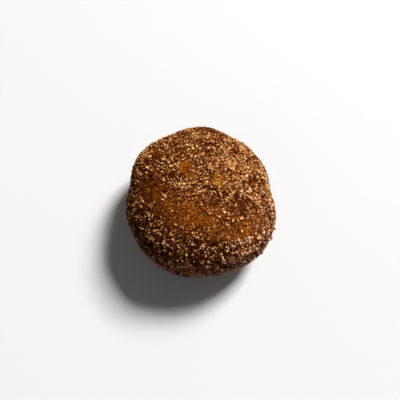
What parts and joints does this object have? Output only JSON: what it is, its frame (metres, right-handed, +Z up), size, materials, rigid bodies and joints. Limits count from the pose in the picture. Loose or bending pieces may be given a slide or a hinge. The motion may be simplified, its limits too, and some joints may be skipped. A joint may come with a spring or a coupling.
{
  "type": "danish puff",
  "caption": "Round, plump piece of fried sweet dough with no hole, browned all over and rolled in coarse cinnamon sugar, resting on a small flat spot.",
  "frame": {"origin": "middle of the flat spot that the puff rests on", "axes": "+Z up through the crown; +X to the right and +Y away from a person looking at the side that faces the camera"},
  "size_m": [0.0687, 0.0741, 0.0352],
  "materials": {
    "fried_dough": "matte",
    "sugar": "satin",
    "cinnamon_sugar": "matte"
  },
  "bodies": {
    "root": {"puff": "fried_dough"}
  },
  "joints": []
}
